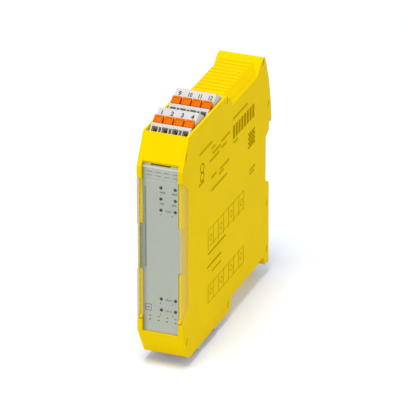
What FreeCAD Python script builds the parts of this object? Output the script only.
import FreeCAD, Part
import math
import os

import Sketcher
from FreeCAD import Placement, Rotation, Vector

# Safety relay, 22.5 mm wide, for a 35 mm hat rail.
# Frame: X to the right, Y to the back, Z up. The origin is the middle of the rail seat: the seat plane is Y = 0
# and the rail's centre line is Z = 0. The front face looks towards -Y.

doc = FreeCAD.newDocument("SafetyRelay")
sheet = doc.addObject("Spreadsheet::Sheet", "Sizes")

# Driving dimensions in millimetres, each written once: name, value, what it is.
SIZES = [
    ("body_width", 22.5, "overall width"),
    ("front_reach", 111.9, "rail seat to front face"),
    ("body_height", 112.4, "height over the flat edges of the side walls"),
    ("rail_offset", 2.4, "rail centre above the middle of the height"),
    ("face_height", 83.8, "height of the flat front face"),
    ("brow_depth", 8.2, "depth of the sloping brow above the face"),
    ("brow_lip", 1.0, "extra thickness of the bay's front wall at the brow"),
    ("lip_drop", 1.9, "fall of that wall's edge towards the bay"),
    ("chin_depth", 8.3, "depth of the sloping chin below the face"),
    ("wall", 1.4, "wall of the tub"),
    ("side_wall", 1.35, "side walls, left wall and side cover"),
    ("bay_side", 0.95, "left wall beside the plug bays"),
    ("dome_drop", 2.1, "ribbed dome below the edge of the side walls"),
    ("dome_front", 54.4, "front end of the dome, before the seat"),
    ("facet_right", 3.9, "width of the bevel along the dome, cover side"),
    ("facet_left", 2.5, "width of the bevel along the dome, other side"),
    ("facet_drop", 5.6, "height of the bevel along the dome"),
    ("facet_front", 51.3, "front end of the bevel, before the seat"),
    ("facet_back", 10.9, "back end of the bevel, before the seat"),
    ("facet_lead", 2.8, "how far the bevel's lower front corner draws in"),
    ("crest_rise", 1.0, "rear crest above the dome"),
    ("crest_front", 10.4, "foot of the rear crest, before the seat"),
    ("crest_back", 6.2, "rear edge of the crest, before the seat"),
    ("keel_height", 52.3, "flat underside behind the bays, below the rail centre"),
    ("keel_front", 52.0, "front end of the underside, before the seat"),
    ("keel_back", 14.2, "back end of the underside, before the seat"),
    ("leg_height", 56.6, "lower end of the rear leg, below the rail centre"),
    ("leg_depth", 4.4, "depth of the rear leg at its end"),
    ("groove_width", 1.4, "grooves between the dome ribs"),
    ("groove_depth", 0.5, "depth of those grooves"),
    ("groove_pitch", 3.7, "from rib to rib"),
    ("groove_reach", 7.7, "half length of the grooves in the underside"),
    ("dome_grooves", 11, "grooves in the dome"),
    ("keel_grooves", 8, "grooves in the underside"),
    ("rail_height", 35.0, "height of the hat rail"),
    ("rail_play", 0.2, "play above the rail's upper edge"),
    ("rail_flange", 1.4, "slot for the rail's flange"),
    ("hook_reach", 3.0, "rail hook behind the seat"),
    ("hook_lap", 1.4, "how far the hook reaches down behind the flange"),
    ("seat_relief", 4.4, "depth of the hollow between the two seats"),
    ("relief_top", 10.6, "upper end of that hollow"),
    ("relief_low", 12.2, "lower end of that hollow"),
    ("face_inset", 1.3, "panel and cover seat behind the front face"),
    ("lintel_rise", 2.5, "step above the panel"),
    ("lintel_depth", 0.3, "how much deeper than the panel that step goes"),
    ("panel_rise", 1.4, "panel above the start of the brow"),
    ("panel_fit", 0.2, "play round the panel"),
    ("panel_thick", 1.5, "label panel"),
    ("grip_half", 11.6, "half height of the finger grips"),
    ("grip_lift", 1.1, "finger grips above the middle of the height"),
    ("grip_dip", 0.35, "dip in the cover's edge at the grips"),
    ("ear_reach", 10.2, "half width of the panel at the grips"),
    ("slot_half", 4.9, "half width of the slot above the panel"),
    ("slot_deep", 0.7, "height of that slot"),
    ("light_left", 0.2, "left column of lights"),
    ("light_step", 7.0, "between the two columns"),
    ("light_pitch", 5.65, "between the rows"),
    ("light_high", 32.2, "top row above the middle of the height"),
    ("light_low", 24.4, "fourth row below the middle of the height"),
    ("light_radius", 0.6, "light openings"),
    ("cover_half", 35.8, "half height of the clear cover"),
    ("cover_skin", 0.7, "thickness of the cover's side flanges"),
    ("cover_front", 1.0, "thickness of the cover's front"),
    ("cover_gap", 0.3, "air round the cover"),
    ("flange_depth", 6.9, "depth of the cover's side flanges"),
    ("flange_taper", 5.5, "slope at the flange ends"),
    ("pin_radius", 0.5, "hinge pins of the cover"),
    ("pin_play", 0.06, "play round the hinge pins"),
    ("ear_height", 3.2, "hinge ears"),
    ("plug_width", 19.6, "plug"),
    ("plug_depth", 20.4, "plug"),
    ("plug_play", 0.3, "air round a plug"),
    ("plug_shift", 0.2, "plugs left of the middle"),
    ("plug_seat", 30.0, "underside of the upper plugs above the rail centre"),
    ("bay_partition", 1.2, "wall between two bays"),
    ("partition_height", 20.0, "height of that wall above the bay floor"),
    ("pole_pitch", 5.0, "between poles"),
    ("chamber_width", 3.4, "clamping chambers"),
    ("chamber_front", 1.6, "front of the chamber"),
    ("chamber_back", 17.0, "back of the chamber"),
    ("chamber_roof", 18.5, "roof of the chamber"),
    ("plug_floor", 1.2, "floor of the plug"),
    ("cheek_height", 20.2, "upright front of the plug"),
    ("cheek_slope", 4.2, "sloping wire face, in depth and in height"),
    ("lip_depth", 1.2, "lip between wire face and levers"),
    ("lip_rise", 0.1, "rise of that lip"),
    ("trough_length", 4.2, "trough for the levers"),
    ("trough_floor", 22.1, "floor of the trough"),
    ("strip_start", 25.5, "number strip, lower edge"),
    ("ridge_height", 28.3, "top of the plug"),
    ("ridge_depth", 14.4, "ridge behind the plug's front"),
    ("back_height", 24.3, "upper end of the plug's back"),
    ("funnel_width", 2.9, "wire openings"),
    ("funnel_low", 2.1, "lower edge of the wire openings, up the slope"),
    ("funnel_high", 4.9, "upper edge of the wire openings, up the slope"),
    ("funnel_reach", 7.6, "depth of the wire openings"),
    ("probe_width", 1.3, "test probe openings"),
    ("probe_reach", 3.0, "depth of the test probe openings"),
    ("lever_width", 4.3, "release levers"),
    ("lever_gap", 0.3, "air round a lever"),
    ("lever_travel", 1.5, "stroke of a lever"),
    ("lever_front", 24.8, "front edge of a lever"),
    ("lever_crest", 27.1, "crest of a lever"),
    ("lever_crest_depth", 2.9, "crest behind the lever's front"),
    ("stem_width", 3.0, "lever stem"),
    ("stem_depth", 1.6, "lever stem"),
    ("stem_inset", 1.7, "stem behind the lever's front"),
    ("barb", 0.5, "catch at the stem's end"),
    ("barb_height", 0.9, "height of the catch"),
    ("clamp_width", 2.6, "clamp springs and current bars"),
    ("clamp_sheet", 0.45, "sheet of the clamp springs"),
    ("clamp_front", 4.2, "front of the clamp spring"),
    ("clamp_back", 12.6, "back of the clamp spring"),
    ("clamp_top", 13.4, "top of the clamp spring"),
    ("clamp_low", 7.2, "foot of the clamp spring"),
    ("clamp_bend", 1.5, "bends of the clamp spring"),
    ("bar_sheet", 0.7, "sheet of the current bars"),
    ("pin_place", 14.9, "header pins behind the plug's front"),
    ("pin_side", 1.0, "header pins, square"),
    ("pin_height", 9.2, "header pins above the plug's underside"),
    ("tine_gap", 0.3, "contact tines beside the pin"),
    ("tine_foot", 3.2, "lower end of the contact tines"),
    ("tine_top", 10.0, "upper end of the contact tines"),
    ("header_depth", 7.0, "header block"),
    ("header_height", 6.2, "header block"),
    ("tail_first", 1.0, "lowest pin tail above the block's underside"),
    ("tail_step", 1.2, "between the pin tails"),
    ("board_thick", 1.2, "circuit boards"),
    ("board_lift", 0.2, "main board off the left wall"),
    ("board_back", 15.0, "back edge of the main board"),
    ("board_front", 102.6, "front edge of the main board"),
    ("board_margin", 0.8, "main board below the bay floors"),
    ("face_board", 106.9, "front of the front board"),
    ("face_board_high", 36.4, "upper end of the front board above the middle"),
    ("face_board_low", 35.6, "lower end of the front board below the middle"),
    ("face_board_half", 8.3, "half width of the front board"),
    ("boss_radius", 2.2, "peg bosses"),
    ("peg_radius", 1.0, "pegs of the side cover"),
    ("peg_play", 0.1, "play round the pegs"),
    ("peg_length", 5.0, "pegs"),
    ("window_length", 3.4, "latch windows"),
    ("window_width", 0.8, "latch windows"),
    ("window_depth", 4.0, "latch windows"),
    ("foot_half", 5.0, "half width of the rail foot"),
    ("foot_wing", 1.6, "guide wings of the rail foot"),
    ("foot_depth", 3.0, "depth of the rail foot"),
    ("wing_depth", 1.2, "depth of the guide wings"),
    ("foot_air", 0.3, "air round the rail foot"),
    ("foot_travel", 3.0, "stroke of the rail foot"),
    ("foot_end", 59.4, "lower end of the rail foot below the rail centre"),
    ("jaw_height", 4.2, "jaw of the rail foot"),
    ("foot_window", 1.9, "half width of the spring window"),
    ("spring_low", 43.6, "lower end of the foot spring below the rail centre"),
    ("spring_high", 30.0, "upper end of the foot spring below the rail centre"),
    ("spring_radius", 1.1, "foot spring, middle of the wire"),
    ("spring_wire", 0.4, "foot spring wire"),
    ("spring_turns", 5, "foot spring"),
    ("peg_block", 2.0, "spring seat in the housing"),
]

for row, (alias, value, meaning) in enumerate(SIZES, start=1):
    sheet.set(f"A{row}", meaning)
    sheet.set(f"B{row}", str(value))
    sheet.setAlias(f"B{row}", alias)
doc.recompute()


def mm(alias):
    """The value of one size, for the few shapes that are set by code."""
    return float(sheet.get(alias))


# ---------------------------------------------------------------------------------------------------------
# Places that several pieces share, as expressions on the sheet.

HALF = "Sizes.body_width / 2"
MIDDLE = "-Sizes.rail_offset"
TOP = "(Sizes.body_height / 2 - Sizes.rail_offset)"
LOW = "(-Sizes.body_height / 2 - Sizes.rail_offset)"
FACE = "-Sizes.front_reach"
FACE_TOP = "(Sizes.face_height / 2 - Sizes.rail_offset)"
FACE_LOW = "(-Sizes.face_height / 2 - Sizes.rail_offset)"
SEAM = "(Sizes.body_width / 2 - Sizes.side_wall)"
INSIDE_LEFT = "(Sizes.side_wall - Sizes.body_width / 2)"
BAY_LEFT = "(Sizes.bay_side - Sizes.body_width / 2)"
BAY_DEPTH = "(Sizes.plug_depth + 2 * Sizes.plug_play)"
BAY_ONE = "(Sizes.brow_depth + Sizes.brow_lip + Sizes.wall - Sizes.front_reach)"
BAY_TWO = f"({BAY_ONE} + {BAY_DEPTH} + Sizes.bay_partition)"
BAY_END = f"({BAY_TWO} + {BAY_DEPTH})"
BAY_REAR = f"({BAY_END} + Sizes.wall)"
FLOOR_HIGH = "(Sizes.plug_seat - Sizes.plug_play)"
FLOOR_LOW = f"(-2 * Sizes.rail_offset - {FLOOR_HIGH})"
DOME = "(Sizes.body_height / 2 - Sizes.rail_offset - Sizes.dome_drop)"
SHOULDER = f"({DOME} - Sizes.facet_drop)"
CREST = f"({DOME} + Sizes.crest_rise)"
HOOK_ROOF = "(Sizes.rail_height / 2 + Sizes.rail_play)"
HOOK_TIP = f"({HOOK_ROOF} - Sizes.hook_lap)"
KEEL = "-Sizes.keel_height"
PANEL_FRONT = "(Sizes.face_inset - Sizes.front_reach)"
PANEL_TOP = f"({FACE_TOP} + Sizes.panel_rise)"
FLANGE_OUT = "(Sizes.body_width / 2 - Sizes.cover_skin - Sizes.cover_gap)"
FLANGE_IN = f"({FLANGE_OUT} - Sizes.side_wall)"
COVER_TOP = "(Sizes.cover_half - Sizes.rail_offset)"
COVER_LOW = "(-Sizes.cover_half - Sizes.rail_offset)"
PIVOT_Y = "(Sizes.cover_front - Sizes.front_reach)"
PIVOT_Z = f"({COVER_LOW} + Sizes.cover_front)"
GRIP_TOP = "(Sizes.grip_half + Sizes.grip_lift - Sizes.rail_offset)"
GRIP_LOW = "(Sizes.grip_lift - Sizes.grip_half - Sizes.rail_offset)"
BOARD_FACE = f"({INSIDE_LEFT} + Sizes.board_lift + Sizes.board_thick)"
FOOT_FRONT = "(-Sizes.foot_air - Sizes.foot_depth)"
FOOT_SEAT = "(-Sizes.rail_height / 2 - Sizes.foot_air)"
FAR = "200"
SLACK = "1"

PARTS = []


def keep(piece, label):
    """Name a finished sub-part, so that it is checked and written at the end."""
    piece.Label = label
    PARTS.append(piece)
    return piece


def body(name):
    """A new body with its origin ready."""
    made = doc.addObject("PartDesign::Body", name)
    doc.recompute()
    return made


def origin(of, role):
    """One of the planes or axes of a body's origin."""
    for feature in of.Origin.OriginFeatures:
        if feature.Role == role:
            return feature
    raise ValueError(role)


PLANES = {"x": "YZ_Plane", "y": "XZ_Plane", "z": "XY_Plane"}
SPREAD = 10.0


def ring(across, up, radius, sides=16):
    """A small round as a regular many-sided outline, so that its mesh stays light."""
    turns = [(k + 0.5) * 2 * math.pi / sides for k in range(sides)]
    return [(f"{across} + ({radius}) * {math.cos(turn):.6f}", f"{up} + ({radius}) * {math.sin(turn):.6f}")
            for turn in turns]


def sketch(of, name, axis, place, corners=(), rounds=(), circles=()):
    """A sketch across one axis at a place, its corners tied to the sheet.

    Corners are pairs of expressions; rounds and true circles are (across, up, radius).
    """
    made = of.newObject("Sketcher::SketchObject", name)
    made.AttachmentSupport = [(origin(of, PLANES[axis]), "")]
    made.MapMode = "FlatFace"
    made.setExpression("AttachmentOffset.Base.z", f"-({place})" if axis == "y" else place)
    loops = [corners] if corners else []
    loops += [ring(*place) for place in rounds]
    lines, ties, ruled = [], [], []
    for loop in loops:
        count = len(loop)
        first = len(lines)
        turn = 2 * math.pi / count
        starts = [Vector(SPREAD * math.cos(turn * k), SPREAD * math.sin(turn * k), 0) for k in range(count)]
        for k, (across, up) in enumerate(loop):
            lines.append(Part.LineSegment(starts[k], starts[(k + 1) % count]))
            ties.append(Sketcher.Constraint("Coincident", first + k, 2, first + (k + 1) % count, 1))
            ruled.append((Sketcher.Constraint("DistanceX", -1, 1, first + k, 1, starts[k].x), across))
            ruled.append((Sketcher.Constraint("DistanceY", -1, 1, first + k, 1, starts[k].y), up))
    for across, up, radius in circles:
        ruled.append((Sketcher.Constraint("DistanceX", -1, 1, len(lines), 3, 0), across))
        ruled.append((Sketcher.Constraint("DistanceY", -1, 1, len(lines), 3, 0), up))
        ruled.append((Sketcher.Constraint("Radius", len(lines), 1), radius))
        lines.append(Part.Circle(Vector(0, 0, 0), Vector(0, 0, 1), 1))
    made.addGeometry(lines, False)
    made.addConstraint(ties + [tie for tie, _ in ruled])
    for index, (_, rule) in enumerate(ruled, start=len(ties)):
        made.setExpression(f"Constraints[{index}]", rule)
    return made


def add(of, name, axis, place, length, corners=(), rounds=(), circles=()):
    """Pad an outline along the positive axis from a place."""
    drawn = sketch(of, name + "_outline", axis, place, corners, rounds, circles)
    made = of.newObject("PartDesign::Pad", name)
    made.Profile = drawn
    made.Reversed = axis == "y"
    made.setExpression("Length", length)
    doc.recompute()
    return made


def cut(of, name, axis, place, length, corners=(), rounds=(), circles=()):
    """Pocket an outline along the positive axis from a place; it has to take something away."""
    before = of.Tip.Shape.Volume
    drawn = sketch(of, name + "_outline", axis, place, corners, rounds, circles)
    made = of.newObject("PartDesign::Pocket", name)
    made.Profile = drawn
    made.Reversed = axis != "y"
    made.setExpression("Length", length)
    doc.recompute()
    if not made.Shape.Volume < before:
        raise RuntimeError(f"{name} takes nothing away")
    return made


def repeat(of, name, feature, role, pitch, copies):
    """Copies of a feature in a row along one of the body's axes."""
    row = of.newObject("PartDesign::LinearPattern", name)
    row.Originals = [feature]
    row.Direction = (origin(of, role), [""])
    row.setExpression("Length", f"({pitch}) * ({copies} - 1)")
    row.setExpression("Occurrences", copies)
    of.Tip = row
    doc.recompute()
    return row


def mirror(of, name, features):
    """The same features on the other side of the middle plane."""
    made = of.newObject("PartDesign::Mirrored", name)
    made.Originals = features
    made.MirrorPlane = (origin(of, "YZ_Plane"), [""])
    of.Tip = made
    doc.recompute()
    return made


def oblong(low_across, low_up, high_across, high_up):
    """The four corners of a rectangle."""
    return [(low_across, low_up), (high_across, low_up), (high_across, high_up), (low_across, high_up)]


def round_corners(of, name, outline, corners, radius):
    """Round the long edges that stand on some corners of an outline across X."""
    places = [outline.Geometry[k].StartPoint for k in corners]
    base = of.Tip
    chosen = []
    for number, edge in enumerate(base.Shape.Edges, start=1):
        ends = [vertex.Point for vertex in edge.Vertexes]
        if len(ends) != 2 or abs(ends[0].x - ends[1].x) < SLIM:
            continue
        if any(all(math.hypot(end.y - p.x, end.z - p.y) < SLIM for end in ends) for p in places):
            chosen.append(f"Edge{number}")
    made = of.newObject("PartDesign::Fillet", name)
    made.Base = (base, chosen)
    made.setExpression("Radius", radius)
    of.Tip = made
    doc.recompute()
    return made


SLIM = 1e-4


def slab(name, x, y, z, width, depth, height):
    """A plain block by its low corner and its three lengths, all expressions."""
    made = doc.addObject("Part::Box", name)
    for axis, place in zip("xyz", (x, y, z)):
        made.setExpression(f"Placement.Base.{axis}", place)
    for side, length in zip(("Length", "Width", "Height"), (width, depth, height)):
        made.setExpression(side, length)
    return made


def joined(name, pieces):
    """Several solids fused into one."""
    made = doc.addObject("Part::MultiFuse", name)
    made.Shapes = pieces
    made.Refine = True
    return made


def less(name, base, tool):
    """One solid with another taken away."""
    made = doc.addObject("Part::Cut", name)
    made.Base = base
    made.Tool = tool
    made.Refine = True
    return made


def shared(name, base, tool):
    """What two solids have in common."""
    made = doc.addObject("Part::Common", name)
    made.Base = base
    made.Tool = tool
    made.Refine = True
    return made


def flip(height):
    """The mirror place of a height, about the middle of the body."""
    return f"(-2 * Sizes.rail_offset - ({height}))"


# ---------------------------------------------------------------------------------------------------------
# The closed housing is drawn once as a solid form and then split at the seam into the tub and its side
# cover, so that edges, ribs, windows and hinge ears meet across the seam.

OUTLINE = [
    (FACE, FACE_LOW),
    (FACE, FACE_TOP),
    (f"{FACE} + Sizes.brow_depth", TOP),
    ("-Sizes.dome_front - 0.6", TOP),
    ("-Sizes.dome_front", DOME),
    ("-Sizes.crest_front", DOME),
    ("Sizes.crest_rise - Sizes.crest_front", CREST),
    ("-Sizes.crest_back", CREST),
    ("-4.3", f"{CREST} - 3.6"),
    ("-0.4", "38.5"),
    ("Sizes.hook_reach / 2", "30"),
    ("Sizes.hook_reach", f"{HOOK_TIP} + 2.2"),
    ("Sizes.hook_reach", HOOK_TIP),
    ("Sizes.rail_flange", HOOK_TIP),
    ("Sizes.rail_flange", HOOK_ROOF),
    ("0", HOOK_ROOF),
    ("0", "Sizes.relief_top + 2.4"),
    ("-Sizes.seat_relief", "Sizes.relief_top"),
    ("-Sizes.seat_relief", "-Sizes.relief_low"),
    ("0", "-Sizes.relief_low - 2.6"),
    ("0", "-Sizes.leg_height"),
    ("-Sizes.leg_depth", "-Sizes.leg_height"),
    ("-Sizes.leg_depth - 0.6", "0.3 - Sizes.leg_height"),
    ("-7.0", "0.7 - Sizes.keel_height"),
    ("0.8 - Sizes.keel_back", "0.9 - Sizes.keel_height"),
    ("-Sizes.keel_back", KEEL),
    ("2.6 - Sizes.keel_front", KEEL),
    ("-Sizes.keel_front", LOW),
    (f"{FACE} + Sizes.chin_depth", LOW),
]

form = body("housing_form")
add(form, "form_solid", "x", f"-({HALF})", "Sizes.body_width", OUTLINE)
round_corners(form, "form_rounding", doc.getObject("form_solid_outline"), [6, 7, 12], "0.5")

LOBE = "(Sizes.cover_front + Sizes.cover_gap)"
band = cut(form, "cover_band", "x", FLANGE_OUT, "3", [
    (f"{FACE} - {SLACK}", f"{COVER_TOP} + Sizes.cover_gap"),
    (f"{FACE} + Sizes.cover_front / 2", f"{COVER_TOP} + Sizes.cover_gap"),
    (f"{FACE} + Sizes.flange_depth + Sizes.cover_gap", f"{COVER_TOP} + Sizes.cover_gap - Sizes.flange_taper"),
    (f"{FACE} + Sizes.flange_depth + Sizes.cover_gap", f"{PIVOT_Z} + 5.9"),
    (f"{PIVOT_Y} + 0.8 * {LOBE}", f"{PIVOT_Z} - 0.6 * {LOBE}"),
    (f"{PIVOT_Y} + 0.3 * {LOBE}", f"{PIVOT_Z} - {LOBE}"),
    (f"{FACE} - {SLACK}", f"{PIVOT_Z} - {LOBE}"),
])
mirror(form, "cover_bands", [band])
cut(form, "cover_seat", "y", f"{FACE} - {SLACK}", f"{SLACK} + Sizes.face_inset",
    oblong(f"-{HALF} - {SLACK}", f"{PIVOT_Z} - {LOBE}", f"{HALF} + {SLACK}", f"{COVER_TOP} + Sizes.cover_gap"))
ear_round = add(form, "hinge_ear", "x", FLANGE_IN, "Sizes.side_wall",
                rounds=[(PIVOT_Y, PIVOT_Z, "Sizes.cover_front")])
ear_root = add(form, "hinge_root", "x", FLANGE_IN, "Sizes.side_wall",
               oblong(PIVOT_Y, f"{PIVOT_Z} - Sizes.cover_front", f"{PANEL_FRONT} + {SLACK}",
                      f"{PIVOT_Z} + Sizes.cover_front"))
mirror(form, "hinge_ears", [ear_round, ear_root])
cut(form, "hinge_bores", "x", f"-{HALF}", "Sizes.body_width",
    circles=[(PIVOT_Y, PIVOT_Z, "Sizes.pin_radius + Sizes.pin_play")])
OPENING_LOW = f"({FACE_LOW} - 2 * Sizes.panel_fit)"
OPENING_TOP = f"({PANEL_TOP} + Sizes.panel_fit)"
INSET_ALL = f"{SLACK} + Sizes.face_inset + Sizes.panel_thick"
cut(form, "front_opening", "y", f"{FACE} - {SLACK}", INSET_ALL,
    oblong(f"-{FLANGE_IN}", OPENING_LOW, FLANGE_IN, OPENING_TOP))
cut(form, "lintel", "y", f"{FACE} - {SLACK}", f"{SLACK} + Sizes.face_inset + Sizes.lintel_depth",
    oblong(f"-{FLANGE_IN}", FACE_TOP, FLANGE_IN, f"{FACE_TOP} + Sizes.lintel_rise"))
cut(form, "grips", "y", f"{FACE} - {SLACK}", INSET_ALL,
    oblong(f"-{HALF} - {SLACK}", GRIP_LOW, f"{HALF} + {SLACK}", GRIP_TOP))


def bevel(name, side, width):
    """A bevel along one side of the dome: its foot drops as it goes outwards, its ends keep their lean."""
    ends = []
    for end, reach in (("inner", f"({HALF} - {width} - 0.35)"), ("outer", f"({HALF} + 0.35)")):
        fall = f"(({reach} - {HALF} + {width}) * Sizes.facet_drop / {width})"
        crown = f"({DOME} + 1.8)"
        ends.append(sketch(form, f"{name}_{end}", "x", f"{side} * {reach}", [
            (f"-Sizes.facet_front + {fall} * Sizes.facet_lead / Sizes.facet_drop", f"{DOME} - {fall}"),
            (f"-Sizes.facet_back - {fall}", f"{DOME} - {fall}"),
            (f"-Sizes.facet_back + 1.8", crown),
            (f"-Sizes.facet_front - 1.8 * Sizes.facet_lead / Sizes.facet_drop", crown),
        ]))
    made = form.newObject("PartDesign::SubtractiveLoft", name)
    made.Profile = ends[0]
    made.Sections = [ends[1]]
    made.Ruled = True
    doc.recompute()


bevel("bevel_right", 1, "Sizes.facet_right")
bevel("bevel_left", -1, "Sizes.facet_left")

GROOVE_Y = "(-(Sizes.dome_front + Sizes.crest_front) / 2 - (Sizes.dome_grooves - 1) / 2 * Sizes.groove_pitch)"
groove = cut(form, "dome_groove", "z", f"{DOME} - Sizes.groove_depth", "1",
             oblong(f"Sizes.facet_left - {HALF} - 0.6", f"{GROOVE_Y} - Sizes.groove_width / 2",
                    f"{HALF} - Sizes.facet_right + 0.8", f"{GROOVE_Y} + Sizes.groove_width / 2"))
repeat(form, "dome_ribs", groove, "Y_Axis", "Sizes.groove_pitch", "Sizes.dome_grooves")
LOW_GROOVE_Y = ("(-(Sizes.keel_front + Sizes.keel_back) / 2 + 1.3"
                " - (Sizes.keel_grooves - 1) / 2 * Sizes.groove_pitch)")
groove = cut(form, "keel_groove", "z", f"{KEEL} - 1", "1 + Sizes.groove_depth",
             oblong("-Sizes.groove_reach", f"{LOW_GROOVE_Y} - Sizes.groove_width / 2",
                    "Sizes.groove_reach", f"{LOW_GROOVE_Y} + Sizes.groove_width / 2"))
repeat(form, "keel_ribs", groove, "Y_Axis", "Sizes.groove_pitch", "Sizes.keel_grooves")

# Latch windows of the side cover: name, place before the seat, height. All lean back by the same angle.
LATCHES = [
    ("dome_front", -55.1, 51.3),
    ("brow", -106.9, 45.3),
    ("chin", -106.7, -49.0),
    ("low_bay", -53.8, -54.5),
    ("crest", -8.0, 50.6),
    ("hook", -0.9, 26.5),
    ("foot_top", -2.8, -24.7),
    ("foot_low", -2.6, -48.8),
]
LEAN = math.radians(26)
along = (math.sin(LEAN), math.cos(LEAN))
for name, back, high in LATCHES:
    corners = []
    for up, side in ((-1, -1), (-1, 1), (1, 1), (1, -1)):
        corners.append((
            f"{back} + {up * along[0]:.4f} * Sizes.window_length / 2 + {side * along[1]:.4f} * Sizes.window_width / 2",
            f"{high} + {up * along[1]:.4f} * Sizes.window_length / 2 - {side * along[0]:.4f} * Sizes.window_width / 2",
        ))
    cut(form, f"latch_window_{name}", "x", f"{HALF} - Sizes.window_depth", "Sizes.window_depth + 1", corners)

CHANNEL = f"(-2 * Sizes.foot_air - Sizes.foot_depth)"
CHANNEL_LOW = "-Sizes.leg_height - 1"
CHANNEL_RISE = f"{FOOT_SEAT} + Sizes.foot_air + Sizes.leg_height + 1"
WING_HALF = "(Sizes.foot_half + Sizes.foot_wing + Sizes.foot_air)"
cut(form, "foot_channel", "z", CHANNEL_LOW, CHANNEL_RISE,
    oblong("-Sizes.foot_half - Sizes.foot_air", CHANNEL, "Sizes.foot_half + Sizes.foot_air", "1"))
cut(form, "wing_channel", "z", CHANNEL_LOW, CHANNEL_RISE,
    oblong(f"-{WING_HALF}", CHANNEL, WING_HALF, f"{CHANNEL} + Sizes.wing_depth + 2 * Sizes.foot_air"))

# The rooms inside, each a prism across the width.
CAVITY_FRONT = f"({FACE} + Sizes.flange_depth + Sizes.cover_gap + Sizes.side_wall)"
PANEL_BACK = f"({PANEL_FRONT} + Sizes.panel_thick)"
BAND_TOP = f"({COVER_TOP} + Sizes.cover_gap + Sizes.wall)"
BAND_LOW = f"({PIVOT_Z} - {LOBE} - Sizes.wall)"
BAY_FRONT = f"({BAY_ONE} - Sizes.wall)"
UNDER_HIGH = f"({FLOOR_HIGH} - Sizes.wall)"
UNDER_LOW = f"({FLOOR_LOW} + Sizes.wall)"

rooms = body("main_room")
add(rooms, "main_room_solid", "x", INSIDE_LEFT, f"{SEAM} - {INSIDE_LEFT} + 1", [
    (CAVITY_FRONT, BAND_LOW),
    (PANEL_BACK, BAND_LOW),
    (PANEL_BACK, f"{FACE_LOW} - 2.0"),
    (BAY_FRONT, f"{LOW} + 1.5 * Sizes.wall"),
    (BAY_FRONT, UNDER_LOW),
    (BAY_REAR, UNDER_LOW),
    (BAY_REAR, f"{LOW} + Sizes.wall"),
    ("-Sizes.keel_front - 1.0", f"{LOW} + Sizes.wall"),
    ("1.6 - Sizes.keel_front", f"{KEEL} + Sizes.wall"),
    ("-Sizes.keel_back - 1.4", f"{KEEL} + Sizes.wall"),
    ("-Sizes.keel_back - 0.6", f"{KEEL} + 0.9 + Sizes.wall"),
    ("-6.0", f"{KEEL} + 0.9 + Sizes.wall"),
    ("-6.0", "Sizes.relief_top + 1.0"),
    ("-Sizes.wall", "Sizes.relief_top + 3.4"),
    ("-Sizes.wall", f"{HOOK_ROOF} + Sizes.wall"),
    ("0.9", f"{HOOK_ROOF} + 3 * Sizes.wall"),
    ("0.1", "29.8"),
    ("-1.7", "38.0"),
    ("-4.1", f"{SHOULDER} - Sizes.wall"),
    (BAY_REAR, f"{SHOULDER} - Sizes.wall"),
    (BAY_REAR, UNDER_HIGH),
    (BAY_FRONT, UNDER_HIGH),
    (BAY_FRONT, f"{TOP} - 2 * Sizes.wall"),
    (PANEL_BACK, f"{FACE_TOP} + 2.5"),
    (PANEL_BACK, BAND_TOP),
    (CAVITY_FRONT, BAND_TOP),
])
dome_room = body("dome_room")
add(dome_room, "dome_room_solid", "x", f"-{HALF} + Sizes.facet_left + 1.25",
    f"2 * {HALF} - Sizes.facet_left - Sizes.facet_right - 2.5", [
    ("Sizes.wall - Sizes.dome_front", f"{SHOULDER} - 2 * Sizes.wall"),
    ("-4.0", f"{SHOULDER} - 2 * Sizes.wall"),
    ("-6.2", f"{DOME} - Sizes.wall"),
    ("Sizes.wall - Sizes.dome_front", f"{DOME} - Sizes.wall"),
])
front_room = slab("front_room", f"-{FLANGE_IN}", PANEL_BACK, f"{BAND_LOW} - 0.2",
                  f"2 * {FLANGE_IN}", f"{CAVITY_FRONT} - {PANEL_BACK} + 0.2", f"{BAND_TOP} - {BAND_LOW} + 0.4")


def bay_room(name, floor, partition, mouth, edge, lip):
    """Two plug bays side by side, open to the top or to the bottom, behind a wall whose edge falls inwards."""
    made = body(name)
    add(made, name + "_solid", "x", BAY_LEFT, f"{SEAM} - {BAY_LEFT} + 1", [
        (BAY_ONE, floor),
        (f"{BAY_ONE} + {BAY_DEPTH}", floor),
        (f"{BAY_ONE} + {BAY_DEPTH}", partition),
        (BAY_TWO, partition),
        (BAY_TWO, floor),
        (BAY_END, floor),
        (BAY_END, mouth),
        (lip, mouth),
        (lip, edge),
        (BAY_ONE, f"{edge} - Sizes.lip_drop" if floor == FLOOR_HIGH else f"{edge} + Sizes.lip_drop"),
    ])
    return made


PARTITION = f"({FLOOR_HIGH} + Sizes.partition_height)"
MOUTH = f"({TOP} + 2)"
bays = [
    bay_room("bays_high", FLOOR_HIGH, PARTITION, MOUTH, TOP, f"({FACE} + Sizes.brow_depth + 0.25)"),
    bay_room("bays_low", FLOOR_LOW, flip(PARTITION), flip(MOUTH), LOW, f"({FACE} + Sizes.chin_depth + 0.25)"),
]

# The four plugs: name, the plug's front, turned over or not.
PLUG_ONE = f"({BAY_ONE} + Sizes.plug_play)"
PLUG_TWO = f"({BAY_TWO} + Sizes.plug_play)"
PLUGS = [
    ("upper_front", PLUG_ONE, False),
    ("upper_rear", PLUG_TWO, False),
    ("lower_front", PLUG_ONE, True),
    ("lower_rear", PLUG_TWO, True),
]
windows = []
for name, front, turned in PLUGS:
    windows.append(slab(
        f"pin_window_{name}", BOARD_FACE, f"{front} + Sizes.pin_place - 1.3",
        f"{flip(FLOOR_HIGH)} - {SLACK}" if turned else f"{UNDER_HIGH} - {SLACK}",
        f"-2 * {BOARD_FACE} - 0.2", "2.6", f"Sizes.wall + 2 * {SLACK}"))

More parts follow.
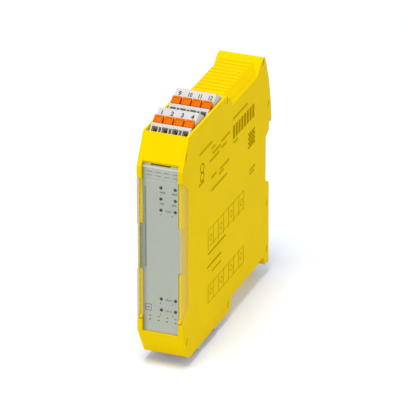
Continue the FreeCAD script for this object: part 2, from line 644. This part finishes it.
cover_block = slab("cover_block", FLANGE_IN, f"{FACE} - {SLACK}", BAND_LOW,
                   "5", f"{CAVITY_FRONT} - {FACE} + {SLACK}", f"{BAND_TOP} - {BAND_LOW}")
tub_slab = slab("tub_slab", f"-{HALF} - {SLACK}", f"{FACE} - {SLACK}", f"{LOW} - {SLACK}",
                f"{SEAM} + {HALF} + {SLACK}", "Sizes.front_reach + 10", "Sizes.body_height + 10")
cover_slab = slab("cover_slab", SEAM, f"{FACE} - {SLACK}", f"{LOW} - {SLACK}",
                  "5", "Sizes.front_reach + 10", "Sizes.body_height + 10")
tub_form = shared("tub_form", form, tub_slab)
tub_shell = less("tub_shell", tub_form, joined("tub_rooms", [rooms, dome_room, front_room, cover_block] + bays + windows))


def rod(name, x, y, z, radius, length):
    """An eight-sided bar along the positive X axis."""
    made = doc.addObject("Part::Prism", name)
    made.Polygon = 8
    made.Placement = Placement(Vector(0, 0, 0), Rotation(Vector(0, 1, 0), 90))
    for axis, place in zip("xyz", (x, y, z)):
        made.setExpression(f"Placement.Base.{axis}", place)
    made.setExpression("Circumradius", radius)
    made.setExpression("Height", length)
    return made


# Pegs of the side cover in the bosses of the tub.
PEGS = [
    ("brow", "-105.2", "39.5"),
    ("chin", "-105.2", flip("39.5")),
    ("hook", "-10.6", "39.6"),
    ("foot", "-11.4", "-45.2"),
]
bosses = [rod(f"boss_{n}", f"{INSIDE_LEFT} - 0.3", y, z, "Sizes.boss_radius", f"{SEAM} - {INSIDE_LEFT} + 0.3")
          for n, y, z in PEGS]
bores = [rod(f"bore_{n}", f"{SEAM} - Sizes.peg_length - 0.3", y, z, "Sizes.peg_radius + Sizes.peg_play",
             "Sizes.peg_length + 1") for n, y, z in PEGS]
pegs = [rod(f"peg_{n}", f"{SEAM} - Sizes.peg_length", y, z, "Sizes.peg_radius", "Sizes.peg_length + 0.3")
        for n, y, z in PEGS]
rests = [
    slab("rest_high", f"{INSIDE_LEFT} - 0.3", PANEL_BACK, f"{BAND_TOP} + 0.6",
         f"{SEAM} - {INSIDE_LEFT}", "1.4", "1.4"),
    slab("rest_low", f"{INSIDE_LEFT} - 0.3", PANEL_BACK, f"{BAND_LOW} - 2.0",
         f"{SEAM} - {INSIDE_LEFT}", "1.4", "1.4"),
]
spring_seat = slab("spring_seat", "0.3 - Sizes.foot_window", f"{CHANNEL} - 0.5", "-Sizes.spring_low - Sizes.peg_block",
                   "2 * Sizes.foot_window - 0.6", "Sizes.foot_depth", "Sizes.peg_block")
tub_full = joined("tub_full", [tub_shell, spring_seat] + rests + bosses)
tub = keep(less("tub_bored", tub_full, joined("boss_bores", bores)), "housing_tub")

cover_form = shared("cover_form", form, joined("cover_space", [cover_slab, cover_block]))
keep(joined("side_cover_solid", [cover_form] + pegs), "side_cover")
doc.recompute()
print("housing", tub.Shape.Volume, len(tub.Shape.Solids), tub.Shape.isValid(),
      PARTS[1].Shape.Volume, len(PARTS[1].Shape.Solids), PARTS[1].Shape.isValid())


# ---------------------------------------------------------------------------------------------------------
# The plug, drawn once in its own frame: X across, Y from its front, Z from its underside.

PLUG_HALF = "Sizes.plug_width / 2"
POLES = (-1.5, -0.5, 0.5, 1.5)
TROUGH_BACK = "(Sizes.cheek_slope + Sizes.lip_depth + Sizes.trough_length)"
TROUGH_FRONT = "(Sizes.cheek_slope + Sizes.lip_depth)"
LEVER_Y = f"({TROUGH_FRONT} + Sizes.lever_gap)"
FIRST_POLE = "(-1.5 * Sizes.pole_pitch)"

plug = body("plug_form")
add(plug, "plug_solid", "x", f"-{PLUG_HALF}", "Sizes.plug_width", [
    ("0", "0"),
    ("0", "Sizes.cheek_height"),
    ("Sizes.cheek_slope", "Sizes.cheek_height + Sizes.cheek_slope"),
    (TROUGH_FRONT, "Sizes.cheek_height + Sizes.cheek_slope + Sizes.lip_rise"),
    (TROUGH_FRONT, "Sizes.trough_floor"),
    (TROUGH_BACK, "Sizes.trough_floor"),
    (TROUGH_BACK, "Sizes.strip_start"),
    ("Sizes.ridge_depth", "Sizes.ridge_height"),
    ("Sizes.plug_depth", "Sizes.back_height"),
    ("Sizes.plug_depth", "0"),
])
round_corners(plug, "plug_rounding", doc.getObject("plug_solid_outline"), [1, 7, 8], "0.5")


def sunk(name, first, width, low, high, reach):
    """A pocket square to the sloping wire face, between two places up the slope, repeated later."""
    unit = "sqrt(2)"

    def spot(up, inward):
        return (f"({up} + ({inward})) / {unit}", f"Sizes.cheek_height + ({up} - ({inward})) / {unit}")

    return cut(plug, name, "x", f"{first} - {width} / 2", width,
               [spot(low, "-1.5"), spot(high, "-1.5"), spot(high, reach), spot(low, reach)])


funnel = sunk("wire_funnel", FIRST_POLE, "Sizes.funnel_width", "Sizes.funnel_low", "Sizes.funnel_high",
              "Sizes.funnel_reach")
repeat(plug, "wire_funnels", funnel, "X_Axis", "Sizes.pole_pitch", "4")
probe = sunk("probe_opening", "(-Sizes.pole_pitch)", "Sizes.probe_width", "(Sizes.funnel_low + 0.15)",
             "(Sizes.funnel_high - 0.15)", "Sizes.probe_reach")
repeat(plug, "probe_openings", probe, "X_Axis", "Sizes.pole_pitch", "3")
chamber = cut(plug, "chamber", "x", f"{FIRST_POLE} - Sizes.chamber_width / 2", "Sizes.chamber_width",
              oblong("Sizes.chamber_front", "Sizes.plug_floor", "Sizes.chamber_back", "Sizes.chamber_roof"))
repeat(plug, "chambers", chamber, "X_Axis", "Sizes.pole_pitch", "4")
STEM_Y = f"({LEVER_Y} + Sizes.stem_inset)"
slot = cut(plug, "stem_slot", "x", f"{FIRST_POLE} - Sizes.stem_width / 2 - Sizes.lever_gap",
           "Sizes.stem_width + 2 * Sizes.lever_gap",
           oblong(f"{STEM_Y} - Sizes.lever_gap", f"Sizes.chamber_roof - {SLACK}",
                  f"{STEM_Y} + Sizes.stem_depth + 2 * Sizes.lever_gap", f"Sizes.trough_floor + {SLACK}"))
repeat(plug, "stem_slots", slot, "X_Axis", "Sizes.pole_pitch", "4")
entry = cut(plug, "pin_entry", "x", f"{FIRST_POLE} - Sizes.pin_side / 2 - Sizes.lever_gap",
            "Sizes.pin_side + 2 * Sizes.lever_gap",
            oblong("Sizes.pin_place - Sizes.pin_side / 2 - Sizes.lever_gap", f"-{SLACK}",
                   "Sizes.pin_place + Sizes.pin_side / 2 + Sizes.lever_gap", f"Sizes.plug_floor + {SLACK}"))
repeat(plug, "pin_entries", entry, "X_Axis", "Sizes.pole_pitch", "4")
cut(plug, "back_core", "z", f"-{SLACK}", f"{SLACK} + Sizes.cheek_height",
    oblong("-8.6", "Sizes.chamber_back + 1.0", "8.6", "Sizes.plug_depth - 1.0"))
repeat(plug, "pry_notches", cut(plug, "pry_notch", "y", f"-{SLACK}", f"{SLACK} + 0.6",
                                oblong("-7.6", "14.6", "-4.6", "15.8")), "X_Axis", "12.2", "2")

lever = body("lever_form")
HEAD_LOW = "(Sizes.trough_floor + Sizes.lever_gap + Sizes.lever_travel)"
LEVER_LENGTH = "(Sizes.trough_length - 2 * Sizes.lever_gap)"
add(lever, "lever_head", "x", "-Sizes.lever_width / 2", "Sizes.lever_width", [
    (LEVER_Y, HEAD_LOW),
    (LEVER_Y, "Sizes.lever_front"),
    (f"{LEVER_Y} + Sizes.lever_crest_depth", "Sizes.lever_crest"),
    (f"{LEVER_Y} + {LEVER_LENGTH}", "Sizes.lever_crest - 0.4"),
    (f"{LEVER_Y} + {LEVER_LENGTH}", HEAD_LOW),
])
BARB_TOP = "(Sizes.chamber_roof - Sizes.lever_gap)"
add(lever, "lever_stem", "x", "-Sizes.stem_width / 2", "Sizes.stem_width", [
    (STEM_Y, f"{HEAD_LOW} + 0.2"),
    (f"{STEM_Y} + Sizes.stem_depth", f"{HEAD_LOW} + 0.2"),
    (f"{STEM_Y} + Sizes.stem_depth", BARB_TOP),
    (f"{STEM_Y} + Sizes.stem_depth + Sizes.barb", BARB_TOP),
    (f"{STEM_Y} + Sizes.stem_depth", f"{BARB_TOP} - Sizes.barb_height"),
    (STEM_Y, f"{BARB_TOP} - Sizes.barb_height"),
])
cut(lever, "lever_dimple", "x", "-Sizes.lever_width / 2 + 0.7", "Sizes.lever_width - 1.4", [
    (f"{LEVER_Y} + 0.5", "Sizes.lever_front + 0.05"),
    (f"{LEVER_Y} + 2.4", "Sizes.lever_front + 1.6"),
    (f"{LEVER_Y} + 1.6", "Sizes.lever_front + 2.6"),
    (f"{LEVER_Y} - 0.3", "Sizes.lever_front + 1.1"),
])


def pole_row(name, make):
    """Four of the same inner piece, one for each pole, as one group."""
    made = doc.addObject("Part::Compound", name)
    made.Links = [make(f"{name}_{k + 1}", f"({pole} * Sizes.pole_pitch)") for k, pole in enumerate(POLES)]
    return made


def clamp_spring(name, middle):
    """A loop of spring sheet that holds the wire against the current bar."""
    made = body(name)
    front, back = "Sizes.clamp_front", "Sizes.clamp_back"
    top, low, bend, sheet_t = "Sizes.clamp_top", "Sizes.clamp_low", "Sizes.clamp_bend", "Sizes.clamp_sheet"
    add(made, name + "_loop", "x", f"{middle} - Sizes.clamp_width / 2", "Sizes.clamp_width", [
        (front, low),
        (front, f"{top} - {bend}"),
        (f"{front} + {bend}", top),
        (f"{back} - {bend}", top),
        (back, f"{top} - {bend}"),
        (back, f"{low} - 1.4"),
        (f"{back} - {sheet_t}", f"{low} - 1.4"),
        (f"{back} - {sheet_t}", f"{top} - {bend} - {sheet_t} / 2"),
        (f"{back} - {bend} - {sheet_t} / 2", f"{top} - {sheet_t}"),
        (f"{front} + {bend} + {sheet_t} / 2", f"{top} - {sheet_t}"),
        (f"{front} + {sheet_t}", f"{top} - {bend} - {sheet_t} / 2"),
        (f"{front} + {sheet_t}", low),
    ])
    return made


def current_bar(name, middle):
    """A sheet bar under the wire that ends in two tines round the header pin."""
    made = body(name)
    near = "(Sizes.pin_place - Sizes.pin_side / 2 - Sizes.tine_gap)"
    far = "(Sizes.pin_place + Sizes.pin_side / 2 + Sizes.tine_gap)"
    foot, top, sheet_t = "Sizes.tine_foot", "Sizes.tine_top", "Sizes.bar_sheet"
    left = f"{middle} - Sizes.clamp_width / 2"
    add(made, name + "_bar", "x", left, "Sizes.clamp_width", [
        ("Sizes.chamber_front + 0.6", foot),
        (near, foot),
        (near, top),
        (f"{near} - {sheet_t}", top),
        (f"{near} - {sheet_t}", f"{foot} + {sheet_t}"),
        ("Sizes.chamber_front + 0.6", f"{foot} + {sheet_t}"),
    ])
    add(made, name + "_side", "x", f"{middle} + Sizes.clamp_width / 2 - Sizes.bar_sheet * 0.7",
        "Sizes.bar_sheet * 0.7", oblong(f"{near} - {sheet_t} / 2", foot, f"{far} + {sheet_t} / 2", top))
    add(made, name + "_tine", "x", left, "Sizes.clamp_width", oblong(far, foot, f"{far} + {sheet_t}", top))
    return made


clamp_row = pole_row("clamp_row", clamp_spring)
contact_row = pole_row("contact_row", current_bar)


def set_in(label, source, front, turned, across="0"):
    """A copy of something drawn in the plug's frame, set into its bay."""
    made = doc.addObject("Part::Compound", label)
    made.Links = [source]
    made.Placement = Placement(Vector(0, 0, 0), Rotation(Vector(0, 1, 0), 180 if turned else 0))
    made.setExpression("Placement.Base.x", f"{across} - Sizes.plug_shift")
    made.setExpression("Placement.Base.y", front)
    made.setExpression("Placement.Base.z", flip("Sizes.plug_seat") if turned else "Sizes.plug_seat")
    return keep(made, label)


pins_all = []
for name, front, turned in PLUGS:
    set_in(f"plug_{name}", plug, front, turned)
    for k, pole in enumerate(POLES):
        set_in(f"lever_{name}_{k + 1}", lever, front, turned, f"({pole} * Sizes.pole_pitch)")
    set_in(f"clamps_{name}", clamp_row, front, turned)
    set_in(f"contacts_{name}", contact_row, front, turned)

# ---------------------------------------------------------------------------------------------------------
# Header blocks on the main board: their pins stand up into the plugs, their tails run into the board.

header_tools = []
for name, front, turned in PLUGS:
    middle = f"({front} + Sizes.pin_place)"
    upper = f"({UNDER_HIGH} - 0.1)"
    block = slab(f"header_blank_{name}", BOARD_FACE, f"{middle} - Sizes.header_depth / 2",
                 flip(upper) if turned else f"{upper} - Sizes.header_height",
                 f"-2 * {BOARD_FACE}", "Sizes.header_depth", "Sizes.header_height")
    pins = []
    for k, pole in enumerate(POLES):
        place = f"({pole} * Sizes.pole_pitch - Sizes.plug_shift)"
        tail = f"({upper} - Sizes.header_height + Sizes.tail_first + {3 - k} * Sizes.tail_step - Sizes.pin_side / 2)"
        head = "(Sizes.plug_seat + Sizes.pin_height)"
        upright = slab(f"pin_{name}_{k + 1}", f"{place} - Sizes.pin_side / 2", f"{middle} - Sizes.pin_side / 2",
                       flip(head) if turned else tail, "Sizes.pin_side", "Sizes.pin_side", f"{head} - {tail}")
        lying = slab(f"tail_{name}_{k + 1}", f"{BOARD_FACE} - Sizes.board_thick", f"{middle} - Sizes.pin_side / 2",
                     flip(f"({tail} + Sizes.pin_side)") if turned else tail,
                     f"{place} + Sizes.pin_side / 2 - {BOARD_FACE} + Sizes.board_thick",
                     "Sizes.pin_side", "Sizes.pin_side")
        pins.append(joined(f"bent_pin_{name}_{k + 1}", [upright, lying]))
    group = doc.addObject("Part::Compound", f"pins_{name}")
    group.Links = pins
    keep(group, f"header_pins_{name}")
    header_tools += pins
    keep(less(f"header_{name}", block, joined(f"pin_tool_{name}", pins)), f"header_block_{name}")

BOARD_LEFT = f"({BOARD_FACE} - Sizes.board_thick)"
board = body("board_blank")
add(board, "board_solid", "x", BOARD_LEFT, "Sizes.board_thick", [
    ("-Sizes.board_front", f"{UNDER_LOW} + Sizes.board_margin"),
    (f"{BAY_REAR} + 1", f"{UNDER_LOW} + Sizes.board_margin"),
    (f"{BAY_REAR} + 1", "2.6 - Sizes.keel_height"),
    ("-Sizes.board_back", "2.6 - Sizes.keel_height"),
    ("-Sizes.board_back", f"{SHOULDER} - Sizes.wall - Sizes.board_margin"),
    (f"{BAY_REAR} + 1", f"{SHOULDER} - Sizes.wall - Sizes.board_margin"),
    (f"{BAY_REAR} + 1", f"{UNDER_HIGH} - Sizes.board_margin"),
    ("-Sizes.board_front", f"{UNDER_HIGH} - Sizes.board_margin"),
])
keep(less("board_drilled", board, joined("tail_tool", header_tools)), "main_board")

# ---------------------------------------------------------------------------------------------------------
# Label panel with its ears at the grips, the light openings and the slot above.

PANEL_HALF = f"({FLANGE_IN} - Sizes.panel_fit)"
PANEL_LOW = f"({FACE_LOW} - Sizes.panel_fit)"
LIGHT_ROWS = [f"({start} - Sizes.rail_offset - {row} * Sizes.light_pitch)" for start, row in (
    ("Sizes.light_high", 0), ("Sizes.light_high", 1), ("Sizes.light_high", 2),
    ("-Sizes.light_low", 0), ("-Sizes.light_low", 1))]


def light_row(up):
    """Where the two lights of a row are, across and up."""
    return [("Sizes.light_left", up), ("(Sizes.light_left + Sizes.light_step)", up)]


panel = body("panel_body")
EAR_TOP = f"({GRIP_TOP} - Sizes.panel_fit)"
EAR_LOW = f"({GRIP_LOW} + Sizes.panel_fit)"
add(panel, "panel_plate", "y", PANEL_FRONT, "Sizes.panel_thick", [
    (f"-{PANEL_HALF}", PANEL_LOW),
    (PANEL_HALF, PANEL_LOW),
    (PANEL_HALF, EAR_LOW),
    ("Sizes.ear_reach", EAR_LOW),
    ("Sizes.ear_reach", EAR_TOP),
    (PANEL_HALF, EAR_TOP),
    (PANEL_HALF, PANEL_TOP),
    ("Sizes.slot_half", PANEL_TOP),
    ("Sizes.slot_half", f"{PANEL_TOP} - Sizes.slot_deep"),
    ("-Sizes.slot_half", f"{PANEL_TOP} - Sizes.slot_deep"),
    ("-Sizes.slot_half", PANEL_TOP),
    (f"-{PANEL_HALF}", PANEL_TOP),
    (f"-{PANEL_HALF}", EAR_TOP),
    ("-Sizes.ear_reach", EAR_TOP),
    ("-Sizes.ear_reach", EAR_LOW),
    (f"-{PANEL_HALF}", EAR_LOW),
])
for number, row in enumerate(LIGHT_ROWS, start=1):
    cut(panel, f"light_openings_{number}", "y", f"{PANEL_FRONT} - {SLACK}", f"Sizes.panel_thick + 2 * {SLACK}",
        rounds=[(across, up, "Sizes.light_radius") for across, up in light_row(row)])
cut(panel, "panel_core_low", "y", f"{PANEL_BACK} - 0.5", f"{SLACK} + 0.5",
    oblong("-7.2", f"{PANEL_LOW} + 5", "7.2", f"-Sizes.light_low - 3.6 - Sizes.rail_offset - Sizes.light_pitch"))
cut(panel, "panel_core_mid", "y", f"{PANEL_BACK} - 0.5", f"{SLACK} + 0.5",
    oblong("-7.2", "-Sizes.light_low + 0.2", "7.2", "15"))
keep(panel, "front_panel")

FACE_BOARD = "(-Sizes.face_board)"
guide = body("guide_body")
add(guide, "guide_plate", "y", f"{PANEL_BACK} + 0.4", "0.6",
    oblong("-6.4", "-Sizes.light_low - Sizes.light_pitch - Sizes.rail_offset - 2",
           "8.2", "Sizes.light_high - Sizes.rail_offset + 2"))
for number, row in enumerate(LIGHT_ROWS, start=1):
    add(guide, f"guide_pipes_{number}", "y", f"{PANEL_FRONT} + 0.1", "Sizes.panel_thick + 0.5",
        rounds=[(across, up, "Sizes.light_radius - 0.1") for across, up in light_row(row)])
cut(guide, "guide_window", "y", PANEL_BACK, "2",
    oblong("-5.4", "-Sizes.light_low + 1.0", "7.2", "Sizes.light_high - Sizes.rail_offset - 2 * Sizes.light_pitch - 3"))
keep(guide, "light_guide")

# ---------------------------------------------------------------------------------------------------------
# Clear cover: its side flanges lie in the recesses of the housing, its pins turn in the housing's ears.

cover = body("clear_body")
add(cover, "clear_block", "x", f"-{HALF}", "Sizes.body_width", [
    (FACE, PIVOT_Z),
    (FACE, f"{COVER_TOP} - Sizes.cover_front / 2"),
    (f"{FACE} + Sizes.cover_front / 2", COVER_TOP),
    (f"{FACE} + Sizes.flange_depth", f"{COVER_TOP} - Sizes.flange_taper"),
    (f"{FACE} + Sizes.flange_depth", f"{PIVOT_Z} + 6.2"),
    (f"{PIVOT_Y} + 0.8 * Sizes.cover_front", f"{PIVOT_Z} - 0.6 * Sizes.cover_front"),
    (PIVOT_Y, f"{PIVOT_Z} - 0.2"),
])
lobe = add(cover, "cover_lobe", "x", f"{HALF} - Sizes.cover_skin", "Sizes.cover_skin",
           rounds=[(PIVOT_Y, PIVOT_Z, "Sizes.cover_front")])
mirror(cover, "cover_lobes", [lobe])
cut(cover, "cover_inside", "y", PIVOT_Y, "10",
    oblong(f"-{HALF} + Sizes.cover_skin", "-60", f"{HALF} - Sizes.cover_skin", "60"))
root_notch = cut(cover, "root_notch", "y", f"{FACE} - {SLACK}", f"{SLACK} + Sizes.cover_front + 0.2",
                 oblong(f"{FLANGE_IN} - Sizes.cover_gap", f"{PIVOT_Z} - {LOBE}",
                        f"{HALF} - Sizes.cover_skin", f"{PIVOT_Z} + {LOBE}"))
mirror(cover, "root_notches", [root_notch])
PIN_LENGTH = "(Sizes.side_wall + Sizes.cover_gap - 0.2)"
hinge_pin = add(cover, "hinge_pin", "x", f"{HALF} - Sizes.cover_skin - {PIN_LENGTH}", f"{PIN_LENGTH} + 0.2",
                circles=[(PIVOT_Y, PIVOT_Z, "Sizes.pin_radius")])
mirror(cover, "hinge_pins", [hinge_pin])
dip = cut(cover, "grip_scoop", "z", GRIP_LOW, f"{GRIP_TOP} - {GRIP_LOW}", [
    (f"{HALF} - Sizes.grip_dip", f"{FACE} - {SLACK}"),
    (f"{HALF} - Sizes.grip_dip", f"{FACE} + Sizes.flange_depth / 2 - Sizes.grip_dip"),
    (HALF, f"{FACE} + Sizes.flange_depth / 2"),
    (f"{HALF} + {SLACK}", f"{FACE} + Sizes.flange_depth / 2"),
    (f"{HALF} + {SLACK}", f"{FACE} - {SLACK}"),
])
mirror(cover, "grip_scoops", [dip])
keep(cover, "front_cover")

# ---------------------------------------------------------------------------------------------------------
# Rail foot with its spring: drawn down against the spring, it lets the rail's lower flange go.

foot = body("foot_body")
add(foot, "foot_stem", "x", "-Sizes.foot_half", "2 * Sizes.foot_half", [
    (FOOT_FRONT, "-Sizes.foot_end"),
    ("-Sizes.foot_air", "-Sizes.foot_end"),
    ("-Sizes.foot_air", f"{FOOT_SEAT} - Sizes.jaw_height"),
    ("Sizes.rail_flange", f"{FOOT_SEAT} - Sizes.jaw_height"),
    ("Sizes.hook_reach", f"{FOOT_SEAT} - Sizes.jaw_height / 2"),
    ("Sizes.hook_reach", f"{FOOT_SEAT} + 0.9"),
    ("Sizes.rail_flange + 0.3", f"{FOOT_SEAT} + Sizes.hook_lap"),
    ("Sizes.rail_flange", f"{FOOT_SEAT} + Sizes.hook_lap"),
    ("Sizes.rail_flange", FOOT_SEAT),
    (FOOT_FRONT, FOOT_SEAT),
])
add(foot, "foot_wings", "x", "-Sizes.foot_half - Sizes.foot_wing", "2 * (Sizes.foot_half + Sizes.foot_wing)",
    oblong(FOOT_FRONT, "4 - Sizes.leg_height", f"{FOOT_FRONT} + Sizes.wing_depth", f"{FOOT_SEAT} - 2"))
cut(foot, "spring_window", "y", f"{FOOT_FRONT} - {SLACK}", "10",
    oblong("-Sizes.foot_window", "-Sizes.spring_low - Sizes.peg_block - Sizes.foot_air",
           "Sizes.foot_window", "-Sizes.spring_high"))
cut(foot, "pull_slot", "z", f"-Sizes.foot_end - {SLACK}", f"{SLACK} + 1.8",
    oblong("-2.2", f"{FOOT_FRONT} + 1.0", "2.2", f"{FOOT_FRONT} + 2.2"))
keep(foot, "rail_foot")

# The coil's wire is six-sided and runs in short straight lengths, twelve to a turn.
coil_turns = int(mm("spring_turns"))
coil_height = mm("spring_low") - mm("spring_high") - mm("spring_wire")
steps = 12 * coil_turns
run = [Vector(mm("spring_radius") * math.cos(math.pi / 6 * k), mm("spring_radius") * math.sin(math.pi / 6 * k),
              coil_height * k / steps) for k in range(steps + 1)]
ahead = (run[1] - run[0]).normalize()
aside = Vector(1, 0, 0)
aside = (aside - ahead * aside.dot(ahead)).normalize()
above = ahead.cross(aside)
rim = [run[0] + (aside * math.cos(math.pi / 3 * k) + above * math.sin(math.pi / 3 * k)) * (mm("spring_wire") / 2)
       for k in range(7)]
spring = doc.addObject("Part::Feature", "spring_coil")
spring.Shape = Part.Wire(Part.makePolygon(run).Edges).makePipeShell([Part.makePolygon(rim)], True, True, 1)
spring.Placement = Placement(Vector(0, 0, 0), Rotation())
spring.setExpression("Placement.Base.y", f"{CHANNEL} + Sizes.spring_radius + Sizes.spring_wire / 2 + 0.3")
spring.setExpression("Placement.Base.z", "-Sizes.spring_low + Sizes.spring_wire / 2")
keep(spring, "foot_spring")

# ---------------------------------------------------------------------------------------------------------
# Front board with its lights, and what stands on the main board.

face_board = body("face_board_body")
add(face_board, "face_board_plate", "y", FACE_BOARD, "Sizes.board_thick",
    oblong("-Sizes.face_board_half", "-Sizes.face_board_low - Sizes.rail_offset",
           "Sizes.face_board_half", "Sizes.face_board_high - Sizes.rail_offset"))
keep(face_board, "front_board")

chips = []
for number, (across, up) in enumerate([spot for row in LIGHT_ROWS for spot in light_row(row)], start=1):
    chips.append(slab(f"led_{number}", f"{across} - 0.5", f"{FACE_BOARD} - 0.6", f"{up} - 0.8", "1.0", "0.6", "1.6"))
leds = doc.addObject("Part::Compound", "led_row")
leds.Links = chips
keep(leds, "leds")

link = body("link_body")
add(link, "link_block", "x", BOARD_FACE, "2.4",
    oblong(f"{FACE_BOARD} + Sizes.board_thick", "-9", f"{FACE_BOARD} + Sizes.board_thick + 7", "6"))
repeat(link, "link_slots", cut(link, "link_slot", "x", f"{BOARD_FACE} + 1.4", "2",
                               oblong(f"{FACE_BOARD} + Sizes.board_thick + 1", "-8.4",
                                      f"{FACE_BOARD} + Sizes.board_thick + 6", "-7.4")), "Z_Axis", "12.8", "8")
keep(link, "board_link")


def relay_can(name, low_y, low_z):
    """A forcibly guided relay: a cased block on a stand-off foot."""
    made = body(name)
    add(made, name + "_case", "x", f"{BOARD_FACE} + 0.4", "15.6",
        oblong(f"({low_y})", f"({low_z})", f"({low_y}) + 28", f"({low_z}) + 12.6"))
    add(made, name + "_foot", "x", BOARD_FACE, "0.6",
        oblong(f"({low_y}) + 1", f"({low_z}) + 1", f"({low_y}) + 27", f"({low_z}) + 11.6"))
    cut(made, name + "_vent", "x", f"{BOARD_FACE} + 15.2", "2",
        oblong(f"({low_y}) + 4", f"({low_z}) + 5.4", f"({low_y}) + 24", f"({low_z}) + 7.2"))
    return made


keep(relay_can("relay_one", "-51", "5"), "relay_a")
keep(relay_can("relay_two", "-51", "-18"), "relay_b")

cans = []
for number, (back, high, radius, length) in enumerate(((-47, 33, 4.2, 14), (-36, 34, 4.2, 14), (-26, 35, 3.2, 11)), 1):
    can = body(f"capacitor_{number}")
    add(can, f"capacitor_{number}_can", "x", BOARD_FACE, f"{length}", rounds=[(str(back), str(high), str(radius))])
    cut(can, f"capacitor_{number}_score", "x", f"{BOARD_FACE} + {length} - 0.3", "1",
        oblong(f"{back - radius * 0.7}", f"{high} - 0.2", f"{back + radius * 0.7}", f"{high} + 0.2"))
    cans.append(can)
group = doc.addObject("Part::Compound", "capacitor_group")
group.Links = cans
keep(group, "capacitors")

flat = []
for number, (back, high) in enumerate(((-92, -6), (-74, 8)), 1):
    chip = body(f"processor_{number}")
    add(chip, f"processor_{number}_case", "x", f"{BOARD_FACE} + 0.2", "1.4",
        oblong(f"{back}", f"{high}", f"{back} + 10", f"{high} + 10"))
    add(chip, f"processor_{number}_legs", "x", BOARD_FACE, "0.4",
        oblong(f"{back} - 1", f"{high} - 1", f"{back} + 11", f"{high} + 11"))
    flat.append(chip)
group = doc.addObject("Part::Compound", "processor_group")
group.Links = flat
keep(group, "processors")

coil_body = body("supply_body")
add(coil_body, "supply_core", "x", f"{BOARD_FACE} + 1", "12", oblong("-52", "-44", "-37", "-26"))
add(coil_body, "supply_winding", "x", f"{BOARD_FACE} + 3", "8", oblong("-53.2", "-42", "-35.8", "-28"))
add(coil_body, "supply_foot", "x", BOARD_FACE, "1.2", oblong("-51", "-43", "-38", "-27"))
keep(coil_body, "supply_coil")


def small_row(label, places, width, height, rise):
    """Small cased parts on the main board as one group."""
    row = []
    for number, (back, high) in enumerate(places, 1):
        row.append(slab(f"{label}_{number}", BOARD_FACE, str(back), str(high), str(rise), str(width), str(height)))
    made = doc.addObject("Part::Compound", label + "_group")
    made.Links = row
    keep(made, label)


small_row("optocouplers", [(-97, -25), (-88, -25), (-79, -25), (-70, -25)], 4.6, 6.4, 3.4)
small_row("suppressors", [(-30, -30), (-30, -38), (-22, -30), (-22, -38)], 2.6, 5.0, 5.2)

# ---------------------------------------------------------------------------------------------------------
# Checks, then one file for each sub-part.

doc.recompute()
for item in doc.Objects:
    if "Invalid" in item.State or "Error" in item.State:
        raise RuntimeError(f"{item.Label}: {item.State}")
for piece in PARTS:
    if piece.Shape.isNull() or not piece.Shape.isValid() or not piece.Shape.Solids:
        raise RuntimeError(f"{piece.Label}: no valid shape")

os.makedirs("parts", exist_ok=True)
for piece in PARTS:
    piece.Shape.exportStep(f"parts/{piece.Label}.step")
print(len(PARTS), "sub-parts written")
